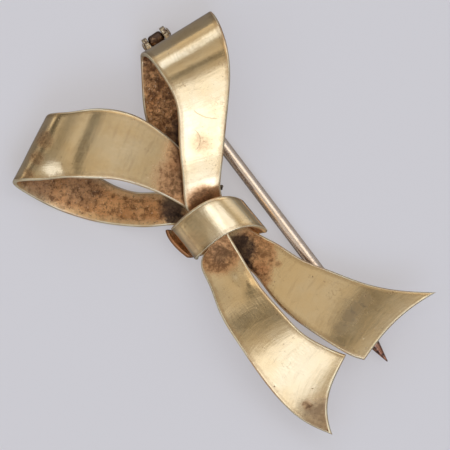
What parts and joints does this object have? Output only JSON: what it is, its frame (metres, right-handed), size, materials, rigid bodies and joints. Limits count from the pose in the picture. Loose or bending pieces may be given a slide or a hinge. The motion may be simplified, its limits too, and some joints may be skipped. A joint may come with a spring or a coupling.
{
  "type": "ribbon bow brooch",
  "caption": "Bow of flat metal ribbon with two loops, two swallow-cut tails and a bent knot band, with a hinged pin and a catch behind it.",
  "frame": {"origin": "centre of the bounding box at its lowest plane, which is the surface the brooch lies on and the garment side", "axes": "+Z away from the garment, towards the viewer; +Y up on the garment; +X to the viewer's right"},
  "size_m": [0.0424, 0.0424, 0.008],
  "materials": {
    "gold_sheet": "polished, pale gold, worn to copper on the inside",
    "base_metal": "worn, brown-gold"
  },
  "bodies": {
    "bow": {"left_loop": "gold_sheet", "upper_loop": "gold_sheet", "lower_tail": "gold_sheet", "upper_tail": "gold_sheet", "knot_band": "gold_sheet", "hinge_rivet": "base_metal"},
    "pin": {"pin_stem": "base_metal"}
  },
  "joints": [
    {"name": "pin_swing", "type": "hinge", "parent": "bow", "child": "pin", "pos_m": [-0.00672, 0.01832, 0.0008], "axis": [0.83, 0.5577, 0], "range_deg": [0, 100]}
  ]
}
